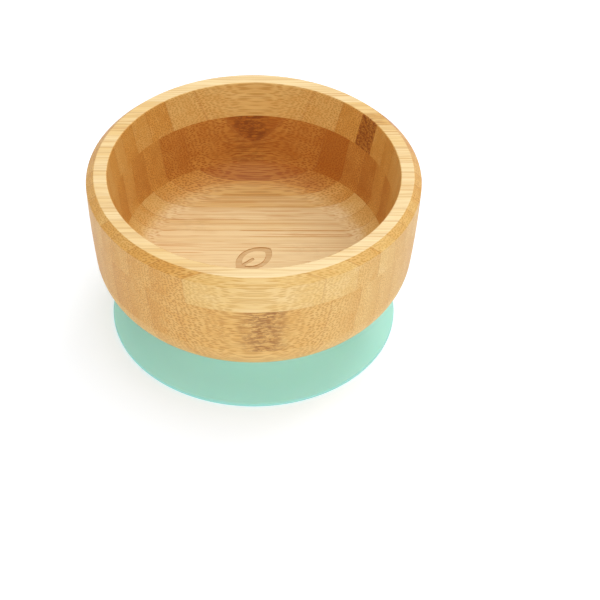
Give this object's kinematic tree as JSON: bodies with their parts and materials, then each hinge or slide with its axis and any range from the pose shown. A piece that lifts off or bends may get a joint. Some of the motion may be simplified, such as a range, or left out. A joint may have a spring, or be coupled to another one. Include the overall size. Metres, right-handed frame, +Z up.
{
  "type": "suction bowl",
  "caption": "Turned bamboo feeding bowl whose foot plugs into a soft silicone suction base with a flared skirt and a small release tab.",
  "frame": {"origin": "centre of the suction base, on the table that it stands on", "axes": "+Z up along the bowl's axis, +Y towards the release tab at the back, bamboo fibres along X"},
  "size_m": [0.127, 0.127, 0.07],
  "materials": {
    "bamboo": "satin lacquer over sanded bamboo",
    "mint_silicone": "matte moulded silicone"
  },
  "bodies": {
    "skirt": {"suction_skirt": "mint_silicone"},
    "hub": {"base_hub": "mint_silicone", "socket_lip": "mint_silicone"},
    "bowl": {"rim_board": "bamboo", "wall_board": "bamboo", "floor_board": "bamboo"},
    "tab": {"release_tab": "mint_silicone"}
  },
  "joints": [
    {"name": "press_down", "type": "slide", "parent": "skirt", "child": "hub", "axis": [0, 0, -1], "range_m": [0, 0.003], "stiffness_N_per_m": 4000, "springref_m": -0.001, "deforming": ["suction_skirt"]},
    {"name": "bowl_lift", "type": "slide", "parent": "hub", "child": "bowl", "axis": [0, 0, 1], "range_m": [0, 0.04], "deforming": ["socket_lip"]},
    {"name": "tab_lift", "type": "hinge", "parent": "skirt", "child": "tab", "pos_m": [0, 0.056, 0.0018], "axis": [1, 0, 0], "range_deg": [0, 60], "stiffness_Nm_per_rad": 0.0025}
  ]
}
